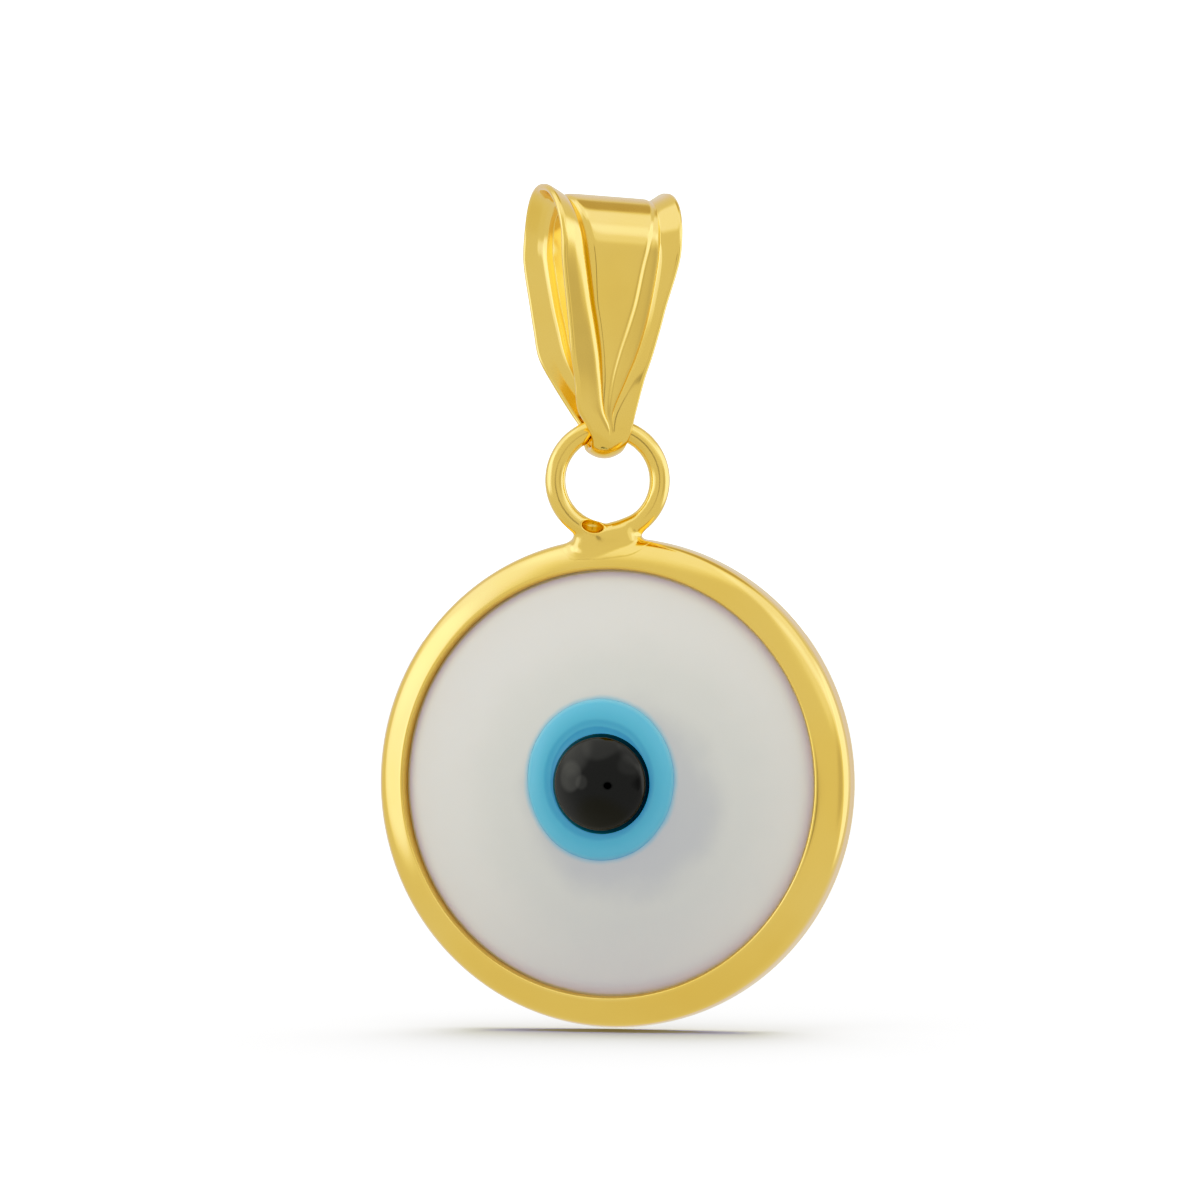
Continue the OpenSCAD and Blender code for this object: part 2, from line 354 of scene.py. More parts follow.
def blue_glass():
    material, nodes, links, shader = new_material("Light blue glass")
    eye = place_group(
        nodes, OFF_CENTRE, middle=EYE_MIDDLE, stretch=EYE_STRETCH, waver_size=1300.0, waver=0.00006
    )
    # The blue is painted darker in a ring next to the pupil, painted shade where the pupil meets
    # the iris, and grows paler towards the iris's edge
    colour = ramp_node(nodes, links, eye.outputs["Distance"], [
        (0.0, (0.05, 0.36, 0.55)),
        (1.34, (0.05, 0.36, 0.55)),
        (1.40, (0.095, 0.50, 0.72)),
        (1.50, (0.085, 0.47, 0.69)),
        (1.60, (0.115, 0.535, 0.76)),
        (1.95, (0.145, 0.57, 0.80)),
        (2.08, (0.24, 0.60, 0.80)),
    ])
    links.new(colour, shader.inputs["Base Color"])
    shader.inputs["Subsurface Weight"].default_value = 0.2
    shader.inputs["Subsurface Radius"].default_value = (0.5, 0.8, 1.0)
    shader.inputs["Subsurface Scale"].default_value = 0.0003
    polish = place_group(
        nodes, HAND_POLISH, wave_size=1200.0, bright_roughness=0.24, dull_roughness=0.27
    )
    links.new(polish.outputs["Roughness"], shader.inputs["Roughness"])
    add_bump(nodes, links, shader, polish.outputs["Height"], distance=0.0000003)
    return material


def black_glass():
    material, nodes, links, shader = new_material("Black glass")
    shader.inputs["Base Color"].default_value = (0.002, 0.002, 0.002, 1.0)
    shader.inputs["IOR"].default_value = 1.5
    polish = place_group(
        nodes, HAND_POLISH, wave_size=900.0, bright_roughness=0.04, dull_roughness=0.08
    )
    links.new(polish.outputs["Roughness"], shader.inputs["Roughness"])
    add_bump(nodes, links, shader, polish.outputs["Height"], distance=0.000001)
    return material


def pale_floor():
    """A plain white floor, exposed so that it shows just white where nothing shades it."""
    material, nodes, links, shader = new_material("Pale floor")
    path = nodes.new("ShaderNodeLightPath")
    seen = nodes.new("ShaderNodeMix")
    seen.data_type = "RGBA"
    links.new(path.outputs["Is Camera Ray"], seen.inputs["Factor"])
    light = open_floor_light() + LAMP_LIGHT
    seen.inputs[6].default_value = (*([FLOOR_BOUNCE / light] * 3), 1.0)
    seen.inputs[7].default_value = (*([FLOOR_SHOWN * WHITE_TONE / light] * 3), 1.0)
    links.new(seen.outputs[2], shader.inputs["Base Color"])
    shader.inputs["Roughness"].default_value = 0.9
    shader.inputs["Specular IOR Level"].default_value = 0.0
    return material


# Turned pieces: the rim, the glass and the eye's two caps

def turned_tree():
    """Geometry nodes that turn a section round the disc's axis, a little out of true."""
    tree, enter, leave = new_group(
        "Turned section",
        "GeometryNodeTree",
        [
            ("Section", "NodeSocketGeometry", None),
            ("Turns", "NodeSocketInt", 360),
            ("Rings", "NodeSocketInt", 64),
            ("Waver", "NodeSocketFloat", 0.01),
            ("Waver size", "NodeSocketFloat", 0.3),
            ("Seed", "NodeSocketFloat", 0.0),
            ("Finish", "NodeSocketMaterial", None),
        ],
        [("Piece", "NodeSocketGeometry")],
    )
    nodes, links = tree.nodes, tree.links
    curve = nodes.new("GeometryNodeMeshToCurve")
    links.new(enter.outputs["Section"], curve.inputs["Mesh"])
    grid = nodes.new("GeometryNodeMeshGrid")
    grid.inputs["Size X"].default_value = 1.0
    grid.inputs["Size Y"].default_value = 1.0
    links.new(enter.outputs["Turns"], grid.inputs["Vertices X"])
    links.new(enter.outputs["Rings"], grid.inputs["Vertices Y"])

    place = nodes.new("GeometryNodeInputPosition")
    split = nodes.new("ShaderNodeSeparateXYZ")
    links.new(place.outputs["Position"], split.inputs["Vector"])
    angle = math_node(tree, "MULTIPLY", math_node(tree, "ADD", split.outputs["X"], 0.5), math.tau)
    sample = nodes.new("GeometryNodeSampleCurve")
    sample.mode = "FACTOR"
    sample.use_all_curves = True
    links.new(curve.outputs["Curve"], sample.inputs["Curves"])
    links.new(math_node(tree, "ADD", split.outputs["Y"], 0.5), sample.inputs["Factor"])
    section = nodes.new("ShaderNodeSeparateXYZ")
    links.new(sample.outputs["Position"], section.inputs["Vector"])
    turned = nodes.new("ShaderNodeCombineXYZ")
    across = math_node(tree, "MULTIPLY", section.outputs["X"], math_node(tree, "COSINE", angle))
    up = math_node(tree, "MULTIPLY", section.outputs["X"], math_node(tree, "SINE", angle))
    links.new(across, turned.inputs["X"])
    links.new(section.outputs["Y"], turned.inputs["Y"])
    links.new(up, turned.inputs["Z"])

    noise = nodes.new("ShaderNodeTexNoise")
    noise.noise_dimensions = "4D"
    noise.inputs["Detail"].default_value = 1.0
    links.new(turned.outputs["Vector"], noise.inputs["Vector"])
    links.new(enter.outputs["Waver size"], noise.inputs["Scale"])
    links.new(enter.outputs["Seed"], noise.inputs["W"])
    centred = nodes.new("ShaderNodeVectorMath")
    centred.operation = "SUBTRACT"
    centred.inputs[1].default_value = (0.5, 0.5, 0.5)
    links.new(noise.outputs["Color"], centred.inputs[0])
    waver = nodes.new("ShaderNodeVectorMath")
    waver.operation = "SCALE"
    links.new(centred.outputs["Vector"], waver.inputs[0])
    links.new(enter.outputs["Waver"], waver.inputs["Scale"])
    moved = nodes.new("ShaderNodeVectorMath")
    links.new(turned.outputs["Vector"], moved.inputs[0])
    links.new(waver.outputs["Vector"], moved.inputs[1])

    put = nodes.new("GeometryNodeSetPosition")
    links.new(grid.outputs["Mesh"], put.inputs["Geometry"])
    links.new(moved.outputs["Vector"], put.inputs["Position"])
    merge = nodes.new("GeometryNodeMergeByDistance")
    merge.inputs["Distance"].default_value = 0.0004
    links.new(put.outputs["Geometry"], merge.inputs["Geometry"])
    smooth = nodes.new("GeometryNodeSetShadeSmooth")
    links.new(merge.outputs["Geometry"], smooth.inputs["Geometry"])
    real = nodes.new("GeometryNodeRealizeInstances")
    links.new(smooth.outputs["Geometry"], real.inputs["Geometry"])
    paint = nodes.new("GeometryNodeSetMaterial")
    links.new(real.outputs["Geometry"], paint.inputs["Geometry"])
    links.new(enter.outputs["Finish"], paint.inputs["Material"])
    links.new(paint.outputs["Geometry"], leave.inputs["Piece"])
    return tree


TURNED = turned_tree()
ROUND_TURNS = 360


def turned_piece(
    name, section, centre_z, finish, waver, waver_size, seed, shift=0.0, oval=(1, 1)
):
    """A section of (radius, depth behind the lip) turned round the disc's axis."""
    points = [(r, y, 0.0) for r, y in section]
    edges = [(i, i + 1) for i in range(len(points) - 1)]
    line = bpy.data.meshes.new(name + "_section")
    line.from_pydata(points, edges, [])
    holder = bpy.data.objects.new(name + "_section", line)
    bpy.context.scene.collection.objects.link(holder)
    modifier = holder.modifiers.new("Turned section", "NODES")
    modifier.node_group = TURNED
    values = {
        "Turns": ROUND_TURNS + 1,
        "Rings": len(points),
        "Waver": waver,
        "Waver size": waver_size,
        "Seed": seed,
        "Finish": finish,
    }
    for item in TURNED.interface.items_tree:
        if item.item_type == "SOCKET" and item.in_out == "INPUT" and item.name in values:
            modifier[item.identifier] = values[item.name]
    bpy.context.view_layer.update()
    graph = bpy.context.evaluated_depsgraph_get()
    mesh = bpy.data.meshes.new_from_object(holder.evaluated_get(graph))
    mesh.name = name
    bpy.data.objects.remove(holder)
    mesh.transform(Matrix.Diagonal((oval[0] * MM, MM, oval[1] * MM, 1.0)))
    mesh.transform(Matrix.Translation(((disc_x + shift) * MM, lip_y * MM, centre_z * MM)))
    face_out(mesh, Vector((disc_x, lip_y, centre_z)) * MM)
    thing = bpy.data.objects.new(name, mesh)
    bpy.context.scene.collection.objects.link(thing)
    return thing


def face_out(mesh, middle):
    """Turns a closed mesh's faces outwards, told by the sign of its volume."""
    mesh.calc_loop_triangles()
    points = np.array([v.co - middle for v in mesh.vertices])
    corners = np.array([t.vertices for t in mesh.loop_triangles])
    a, b, c = (points[corners[:, i]] for i in range(3))
    if np.einsum("ij,ij->i", a, np.cross(b, c)).sum() < 0:
        mesh.flip_normals()


# The rim's section, (radius, depth behind the lip), from the glass out over the front face,
# the side wall and the back lip, and round the groove that holds the glass. The face leans
# back more and more from the lip to the edge: share of its width, lean in degrees
RIM_FACE_W = 0.76
FACE_LEAN = [(0.0, 19), (0.6, 30), (0.8, 42), (0.93, 60), (1.0, 84)]
FACE_STEPS = 30
RIM_DEPTH = 1.35
RIM_WALL = 0.3
LIP_W = 0.09
LIP_WALL_H = 0.2
LIP_BEVEL_W = 0.055
LIP_FOOT = LIP_WALL_H + 0.34
BACK_ROUND = 0.24
GROOVE_TOP = 0.6
SEAT_GAP = 0.03
lip_r = rim_r - RIM_FACE_W
back_lip_r = lip_r + 0.1


def rim_outside():
    """The outer side of the section, its corners rounded."""
    share = np.linspace(0, 1, FACE_STEPS + 1)
    lean = np.interp(share, *np.transpose(FACE_LEAN))
    slope = np.tan(np.radians(lean))
    drop = np.concatenate([[0], np.cumsum((slope[1:] + slope[:-1]) / 2)])
    face = list(zip(lip_r + share * RIM_FACE_W, drop * RIM_FACE_W / FACE_STEPS))
    return rounded_line([
        (lip_r - LIP_W, LIP_FOOT),
        (lip_r - LIP_W, LIP_WALL_H - 0.06),
        (lip_r - LIP_W + LIP_BEVEL_W, 0.02),
        *face,
        (rim_r, RIM_DEPTH - BACK_ROUND),
        (rim_r - BACK_ROUND * 0.3, RIM_DEPTH - BACK_ROUND * 0.3),
        (rim_r - BACK_ROUND, RIM_DEPTH),
        (back_lip_r, RIM_DEPTH),
    ], radius=0.045, step=0.022)


def rim_inside():
    """The groove's side of the section, from the back lip to the front one."""
    return rounded_line([
        (back_lip_r, glass_back + SEAT_GAP),
        (rim_r - RIM_WALL, glass_back + SEAT_GAP),
        (rim_r - RIM_WALL, GROOVE_TOP),
        (lip_r - LIP_W, LIP_FOOT),
    ], radius=0.03, step=0.1)


def rim(finish):
    outside = rim_outside()
    inside = rim_inside()
    section = np.concatenate([outside, inside, outside[:1]])
    return turned_piece("rim", section, disc_z, finish, waver=0.012, waver_size=0.22, seed=3.0)


# The white glass: a dome whose edge sinks a little where it goes under the lip
EDGE_ROUND = 0.4
EDGE_SUNK = 0.15
GLASS_BEVEL = 0.03
GLASS_RINGS = 160
dome_edge_r = lip_r - LIP_W
dome_h = dome_rise + LIP_WALL_H
dome_r = (dome_edge_r ** 2 + dome_h ** 2) / (2 * dome_h)


def dome_depth(r):
    """Depth of the white glass's front behind the lip; in front of it is negative."""
    return dome_r - dome_rise - math.sqrt(dome_r ** 2 - r ** 2)


def white_disc(finish):
    front = []
    for r in np.linspace(0, glass_r - 0.01, GLASS_RINGS):
        sunk = EDGE_SUNK * max((r - dome_edge_r + EDGE_ROUND) / EDGE_ROUND, 0) ** 2
        front.append((r, min(dome_depth(r) + sunk, glass_back - 0.2)))
    wall = [(glass_r, front[-1][1] + GLASS_BEVEL), (glass_r, glass_back - GLASS_BEVEL)]
    back = [(glass_r - GLASS_BEVEL, glass_back), (0.0, glass_back)]
    return turned_piece(
        "glass_disc", front + wall + back, disc_z, finish, waver=0.05, waver_size=0.25, seed=8.0
    )


# The iris: how much its edge rolls down, and the depth and width of the ditch round the pupil
IRIS_ROLL = 0.55
IRIS_DITCH_H = 0.06
IRIS_DITCH_W = 0.16
IRIS_RINGS = 60


def iris(finish):
    """A dab of glass that was laid on hot: a low dome whose edge rolls down to its seat."""
    foot = dome_depth(iris_r) + 0.01
    section = []
    for share in np.linspace(0, 1, IRIS_RINGS):
        r = iris_r * math.sin(share * math.pi / 2)
        t = r / iris_r
        dome = (1 - t * t) * (1 - IRIS_ROLL) + IRIS_ROLL * math.sqrt(max(1 - t ** 4, 0))
        ditch = IRIS_DITCH_H * math.exp(-(((r - pupil_r) / IRIS_DITCH_W) ** 2))
        section.append((r, foot - (foot + iris_rise) * dome + ditch))
    section += [(iris_r, foot + 0.02), (iris_r - 0.02, foot + 0.2), (0.0, foot + 0.2)]
    return turned_piece(
        "iris", section, iris_z, finish, waver=0.04, waver_size=0.5, seed=5.0, oval=EYE_OVAL
    )


# The pupil's bead: how deep it has sunk, how far its crown curves and reaches, its steep side,
# and its place off the middle
BEAD_SUNK = 0.08
BEAD_CURVE = 0.66
BEAD_CROWN = 0.84
BEAD_SIDE = 0.22
BEAD_RINGS = 70
PUPIL_SHIFT = 0.055


def pupil(finish):
    """A tall bead of glass, whose side turns steeply under just before it meets the iris."""
    section = []
    for share in np.linspace(0, 1, BEAD_RINGS):
        t = math.sin(share * math.pi / 2)
        turned = max(t - BEAD_CROWN, 0) / (1 - BEAD_CROWN)
        side = BEAD_SIDE * (1 - math.sqrt(max(1 - turned ** 2, 0)))
        section.append((pupil_r * t, -pupil_rise + BEAD_SUNK + BEAD_CURVE * t * t + side))
    foot = section[-1][1]
    section += [(pupil_r, foot + 0.02), (pupil_r - 0.02, foot + 0.2), (0.0, foot + 0.2)]
    return turned_piece(
        "pupil", section, disc_z, finish, waver=0.03, waver_size=0.5, seed=11.0, shift=PUPIL_SHIFT
    )


# The ring of wire and its solder, as one distance field that melts into the rim. The wire's
# ends are angles round the ring from its foot, and places in the joint are measured from the
# ring's middle. The melted metal reaches farther at the left and behind than at the right
WIRE_R = 0.275
RING_R = 1.385
RING_TURN = math.radians(20)
WIRE_ENDS = (-0.24, 0.10)
JOINT_TURN = math.radians(10)
SOLDER_FROM = np.array([-0.6, -0.02, -1.53])
SOLDER_TO = np.array([0.46, -0.02, -1.51])
SOLDER_R = 0.27
POCKET_AT = np.array([-0.38, -0.30, -1.22])
POCKET_SIZE = np.array([0.29, 0.38, 0.17])
POCKET_TILT = math.radians(14)
MELT_LEFT = 0.5
MELT_RIGHT = 0.28
RIM_SKIN = 0.2
JOINT_REACH = 0.8
FIELD_STEP = 0.032
ring_z = hang[2] - RING_R


def turn_about_z(points, angle):
    """Points round the ring's centre, in a frame turned with the ring."""
    x, y, z = (points - np.array([hang[0], hang[1], ring_z])).T
    c, s = math.cos(angle), math.sin(angle)
    return np.stack([x * c + y * s, y * c - x * s, z], 1)


def wire_field(points):
    """The round wire, whose two ends nearly meet at the foot of the ring."""
    p = turn_about_z(points, RING_TURN)
    angle = np.arctan2(p[:, 0], -p[:, 2])
    # the wire is a little thicker where solder ran up its right side
    swell = 0.03 * np.exp(-((angle - 0.35) / 0.25) ** 2)
    across = np.sqrt((np.hypot(p[:, 0], p[:, 2]) - RING_R) ** 2 + p[:, 1] ** 2)
    in_gap = (angle > WIRE_ENDS[0]) & (angle < WIRE_ENDS[1])
    ends = []
    for end in WIRE_ENDS:
        tip = np.array([RING_R * math.sin(end), 0.0, -RING_R * math.cos(end)])
        ends.append(np.linalg.norm(p - tip, axis=1))
    near_end = smooth_min(ends[0], ends[1], 0.2)
    return np.where(in_gap, near_end, across) - WIRE_R - swell


def solder_field(points):
    """The round bridge of solder that lies under the wire's two ends."""
    p = turn_about_z(points, JOINT_TURN)
    along = SOLDER_TO - SOLDER_FROM
    t = np.clip((p - SOLDER_FROM) @ along / (along @ along), 0, 1)
    return np.linalg.norm(p - SOLDER_FROM - t[:, None] * along, axis=1) - SOLDER_R


def pocket_field(points):
    """The small hollow that the solder leaves beside the left end of the wire."""
    p = turn_about_z(points, JOINT_TURN)
    x, y, z = (p - POCKET_AT).T
    c, s = math.cos(POCKET_TILT), math.sin(POCKET_TILT)
    q = np.stack([x * c - z * s, y, z * c + x * s], 1)
    return (np.linalg.norm(q / POCKET_SIZE, axis=1) - 1) * POCKET_SIZE[2]


def rim_field(points):
    """Distance to the rim's outside, as a radius that changes with depth."""
    outside = rim_outside()
    front = outside[:, 0] > lip_r + 0.02
    depth, radius = outside[front, 1], outside[front, 0]
    r = np.hypot(points[:, 0] - disc_x, points[:, 2] - disc_z)
    y = points[:, 1] - lip_y
    order = np.argsort(depth)
    wall = np.interp(y, depth[order], radius[order])
    # a hair is added to each depth, so that no two are the same
    slope = np.gradient(radius[order], depth[order] + np.arange(len(depth)) * 1e-9)
    lean = np.interp(y, depth[order], np.clip(slope, 0, 2.5))
    return (r - wall) / np.sqrt(1 + lean ** 2)


def joint_field(points):
    """Wire and solder with the hollow cut in, melted onto a thin skin of the rim's outside."""
    wire = wire_field(points)
    bridge = smooth_min(wire, solder_field(points), 0.14)
    bridge = -smooth_min(-bridge, pocket_field(points), 0.05)
    side = smooth_step(-0.5, 0.6, points[:, 0] - hang[0])
    behind = smooth_step(-0.3, 0.05, points[:, 1] - hang[1])
    blend = (MELT_LEFT * (1 - side) + MELT_RIGHT * side) * (0.8 + 0.2 * behind)
    lie = rim_field(points) - 0.004 + 0.1 * smooth_step(0.42, 0.62, bridge)
    skin = np.maximum(lie, -lie - RIM_SKIN)
    melted = smooth_min(bridge, skin, blend)
    return np.maximum(melted, bridge - JOINT_REACH)


def surface_nets(field, low, high, step):
    """A quad mesh of the field's zero: one point in each cell that the surface crosses."""
    axes = [np.arange(low[i], high[i], step) for i in range(3)]
    shape = tuple(len(a) for a in axes)
    grid = np.stack(np.meshgrid(*axes, indexing="ij"), -1).reshape(-1, 3)
    values = field(grid).reshape(shape)
    inside = values < 0
    cells = tuple(n - 1 for n in shape)
    total = np.zeros(cells + (3,))
    crossings = np.zeros(cells)
    corner = [slice(0, -1), slice(1, None)]
    for axis in range(3):
        others = [i for i in range(3) if i != axis]
        for u in (0, 1):
            for v in (0, 1):
                start = [None] * 3
                start[axis], start[others[0]], start[others[1]] = corner[0], corner[u], corner[v]
                end = list(start)
                end[axis] = corner[1]
                a, b = values[tuple(start)], values[tuple(end)]
                crossed = (a < 0) != (b < 0)
                t = np.where(crossed, a / np.where(crossed, a - b, 1), 0)
                offset = np.zeros(cells + (3,))
                offset[..., axis] = t
                offset[..., others[0]], offset[..., others[1]] = u, v
                total += offset * crossed[..., None]
                crossings += crossed
    used = crossings > 0
    number = np.full(cells, -1)
    number[used] = np.arange(used.sum())
    corner_place = np.stack(np.nonzero(used), 1)
    points = (corner_place + total[used] / crossings[used][:, None]) * step + np.array(low)
    faces = []
    for axis in range(3):
        u, v = [(1, 2), (2, 0), (0, 1)][axis]
        a = np.moveaxis(inside, (axis, u, v), (0, 1, 2))
        n = np.moveaxis(number, (axis, u, v), (0, 1, 2))
        change = a[:-1, 1:-1, 1:-1] != a[1:, 1:-1, 1:-1]
        i, j, k = np.nonzero(change)
        quad = np.stack([n[i, j, k], n[i, j + 1, k], n[i, j + 1, k + 1], n[i, j, k + 1]], 1)
        turned = a[i, j + 1, k + 1]
        faces.append(np.where(turned[:, None], quad, quad[:, ::-1]))
    return points, np.concatenate(faces)


def settle(field, points, rounds=3):
    """Moves points onto the field's zero along its slope."""
    nudge = 0.004
    least_slope = 0.2
    longest_move = 0.02
    for _ in range(rounds):
        slope = np.stack([
            (field(points + nudge * axis) - field(points - nudge * axis)) / (2 * nudge)
            for axis in np.eye(3)
        ], 1)
        size = np.maximum((slope ** 2).sum(1), least_slope)
        move = np.clip(field(points) / size, -longest_move, longest_move)
        points = points - move[:, None] * slope
    return points


def ring_and_solder(finish):
    low = np.array([hang[0] - 2.3, hang[1] - 1.0, ring_z - 2.1])
    high = np.array([hang[0] + 1.9, hang[1] + 1.0, ring_z + RING_R + WIRE_R + 0.1])
    points, faces = surface_nets(joint_field, low, high, FIELD_STEP)
    return mesh_object("ring", settle(joint_field, points), faces, finish)


# The bail: a strip of sheet that narrows from its top to a fold, bent into a loop
BAIL_H = 6.49
BAIL_OPEN_D = 2.3
FOLD_OPEN_D = 1.06
SEAT_BACK = 0.4
SHEET_T = 0.2
PANEL_RISE = 0.12
BAIL_TURN = math.radians(35)
BAIL_LEAN = math.radians(2)

# Share of the height, then in millimetres: half the width, how far the strip's middle lies to
# the right and how much farther at the back, half the panel, how far off the borders start
# and how much farther at the right, how high they start and end, how far the panel stands up
# and how far the strip is crowned
BAIL_ROWS = np.array([
    [0.000, 0.29, -0.06, 0.00, 0.02, 0.04, 0.00, 0.00, 0.00, 0.000, 0.10],
    [0.040, 0.37, -0.07, 0.13, 0.02, 0.05, 0.01, 0.00, 0.01, 0.000, 0.08],
    [0.085, 0.53, -0.14, 0.29, 0.02, 0.08, 0.04, 0.03, 0.05, 0.010, 0.04],
    [0.150, 0.72, -0.25, 0.37, 0.03, 0.17, 0.08, 0.10, 0.14, 0.030, 0.00],
    [0.280, 0.89, -0.23, 0.06, 0.05, 0.33, 0.22, 0.17, 0.23, 0.070, 0.00],
    [0.385, 1.07, -0.19, -0.12, 0.14, 0.46, 0.31, 0.19, 0.27, 0.100, 0.00],
    [0.500, 1.22, -0.14, -0.12, 0.30, 0.65, 0.28, 0.20, 0.29, 0.120, 0.00],
    [0.600, 1.34, -0.11, -0.10, 0.45, 0.81, 0.22, 0.20, 0.30, 0.120, 0.00],
    [0.770, 1.56, -0.05, -0.05, 0.60, 1.04, 0.09, 0.18, 0.32, 0.120, 0.00],
    [0.880, 1.64, -0.02, 0.00, 0.76, 1.14, 0.00, 0.11, 0.34, 0.120, 0.00],
    [1.000, 1.75, 0.00, 0.00, 1.03, 1.22, 0.00, 0.00, 0.33, 0.120, 0.00],
])
CREASE_SINK = 0.22
BACK_FLARE = 0.6
BORDER_STEP_W = 0.04
BORDER_TOE_W = 0.08
BORDER_TOE_RISE = 0.3
BORDER_BEND_RISE = 0.6
PANEL_BEVEL_W = 0.12
PANEL_BEVEL_H = 0.05
PANEL_SLOPE_H = 0.07
BAIL_SKEW = 0.045
SECTION_POINTS = 141
FOLD_STATIONS = 26
LEAF_STATIONS = 70
TOP_STATIONS = 64

top_in_r = BAIL_OPEN_D / 2
fold_in_r = FOLD_OPEN_D / 2
top_circle = np.array([0.0, -PANEL_RISE - top_in_r])
fold_circle = np.array([SEAT_BACK, -BAIL_H + fold_in_r])
path_tilt = math.atan2(SEAT_BACK, top_circle[1] - fold_circle[1])
leaf_tilt = math.asin((top_in_r - fold_in_r) / np.linalg.norm(top_circle - fold_circle))
front_a = path_tilt - leaf_tilt
back_a = math.pi + path_tilt + leaf_tilt


def bail_columns(s):
    """The table's columns at a share of the height, on a smooth curve through its rows."""
    rows = BAIL_ROWS
    i = int(np.clip(np.searchsorted(rows[:, 0], s, side="left") - 1, 0, len(rows) - 2))

    def slope(k):
        a, b = rows[max(k - 1, 0)], rows[min(k + 1, len(rows) - 1)]
        return (b - a) / (b[0] - a[0])

    a, b = rows[i], rows[i + 1]
    h = b[0] - a[0]
    t = (s - a[0]) / h
    turn = h * t * (1 - t) * (slope(i) * (1 - t) - slope(i + 1) * t)
    return a + (b - a) * t * t * (3 - 2 * t) + turn


def bail_section(s, back, count):
    """One station's closed section: along the inside, round a rim, back along the outside."""
    _, half_w, middle, farther, panel, foot, wider, start, end, raised, crown = bail_columns(s)
    share = raised / PANEL_RISE
    end = end * (1 + BACK_FLARE * back)
    bend = start + (BORDER_BEND_RISE + 0.03 * back) * (end - start)
    left = [
        (-half_w, end),
        (-(half_w + foot) / 2, bend),
        (-foot - BORDER_STEP_W - BORDER_TOE_W, start + BORDER_TOE_RISE * (end - start)),
        (-foot - BORDER_STEP_W, start),
        (-foot, -CREASE_SINK * share),
        (-panel, raised),
    ]
    right_foot = foot + wider
    slope_end, ridge = raised - PANEL_SLOPE_H * share, start + 0.02 * share
    right = [
        (panel, raised),
        (panel + PANEL_BEVEL_W * share, raised - PANEL_BEVEL_H * share),
        (right_foot, slope_end),
        (right_foot + max(ridge - slope_end, 0.01), ridge),
        (half_w, end),
    ]
    line = rounded_line(left + right, radius=min(0.045, half_w * 0.1), step=0.012)
    line = even_turns(line, count)
    line[:, 1] += crown * (1 - (line[:, 0] / half_w) ** 2)
    line[:, 0] += middle + farther * back
    across = thickness_way(line)
    outer = line + across * SHEET_T
    rims = []
    for edge, inward in ((-1, 1), (0, -1)):
        centre = (line[edge] + outer[edge]) / 2
        beside = np.array([across[edge, 1], -across[edge, 0]]) * inward
        swing = np.linspace(-math.pi / 2, math.pi / 2, 13)[1:-1] * inward
        bulge = np.outer(np.cos(swing), beside) + np.outer(np.sin(swing), across[edge])
        rims.append(centre + bulge * SHEET_T / 2)
    return np.concatenate([line, rims[0], outer[::-1], rims[1]])


def even_turns(line, count):
    """The line as a set number of points, closer together where it turns."""
    mm_per_radian = 0.08
    spread = 4
    step = np.diff(line, axis=0)
    angle = np.arctan2(step[:, 1], step[:, 0])
    cost = np.linalg.norm(step, axis=1)
    cost[1:] += mm_per_radian * np.abs(np.diff(angle))
    kernel = np.full(2 * spread + 1, 1 / (2 * spread + 1))
    cost = np.convolve(np.pad(cost, spread, mode="edge"), kernel, "valid")
    along = np.concatenate([[0], np.cumsum(cost)])
    reach = np.linspace(0, along[-1], count)
    return np.stack([np.interp(reach, along, line[:, i]) for i in (0, 1)], 1)


def thickness_way(line):
    """The way across the sheet at each point of a section, which turns slowly along it."""
    slope = np.gradient(line, axis=0)
    angle = np.arctan2(slope[:, 1], slope[:, 0])
    kernel = np.hanning(31)[1:-1]
    padded = np.pad(angle, len(kernel) // 2, mode="edge")
    angle = np.convolve(padded, kernel / kernel.sum(), "valid")
    return np.stack([-np.sin(angle), np.cos(angle)], 1)


def bail_path():
    """Stations of the loop, as (forward, up, outward angle)."""
    def on(circle, radius, a):
        return np.array([circle[0] + radius * math.cos(a), circle[1] + radius * math.sin(a), a])

    def arc(circle, radius, first, last, count):
        return [on(circle, radius, a) for a in np.linspace(first, last, count)]

    def leaf(first, last):
        shares = np.linspace(0, 1, LEAF_STATIONS)[1:-1]
        return [first + (last - first) * t for t in shares]

    fold_front = arc(fold_circle, fold_in_r, -math.pi / 2, front_a, FOLD_STATIONS)
    top = arc(top_circle, top_in_r, front_a, back_a, TOP_STATIONS)
    fold_back = arc(fold_circle, fold_in_r, back_a, math.pi * 1.5, FOLD_STATIONS)
    front_leaf = leaf(fold_front[-1], top[0])
    back_leaf = leaf(top[-1], fold_back[0])
    return fold_front + front_leaf + top + back_leaf + fold_back[:-1]


def bail(finish):
    rings = []
    for forward, up, angle in bail_path():
        s = min(max((up + BAIL_H) / (BAIL_H - PANEL_RISE), 0.0), 1.0)
        section = bail_section(s, max(-math.cos(angle), 0.0), SECTION_POINTS)
        rings.append(np.stack([
            section[:, 0],
            -(forward + section[:, 1] * math.cos(angle)),
            up + section[:, 1] * math.sin(angle) - BAIL_SKEW * s * section[:, 0],
        ], 1))
    rings = np.array(rings)
    m, n = rings.shape[:2]
    number = np.arange(m * n).reshape(m, n)
    ahead, beside = np.roll(number, -1, 0), np.roll(number, -1, 1)
    corner = np.roll(ahead, -1, 1)
    faces = np.stack([number, ahead, corner, beside], -1).reshape(-1, 4)
    turn = Matrix.Rotation(BAIL_TURN, 3, "Z") @ Matrix.Rotation(BAIL_LEAN, 3, "Y")
    points = rings.reshape(-1, 3) @ np.array(turn).T
    thing = mesh_object("bail", points, faces, finish)
    face_out(thing.data, Vector((0.0, 0.0, 0.0)))
    return thing


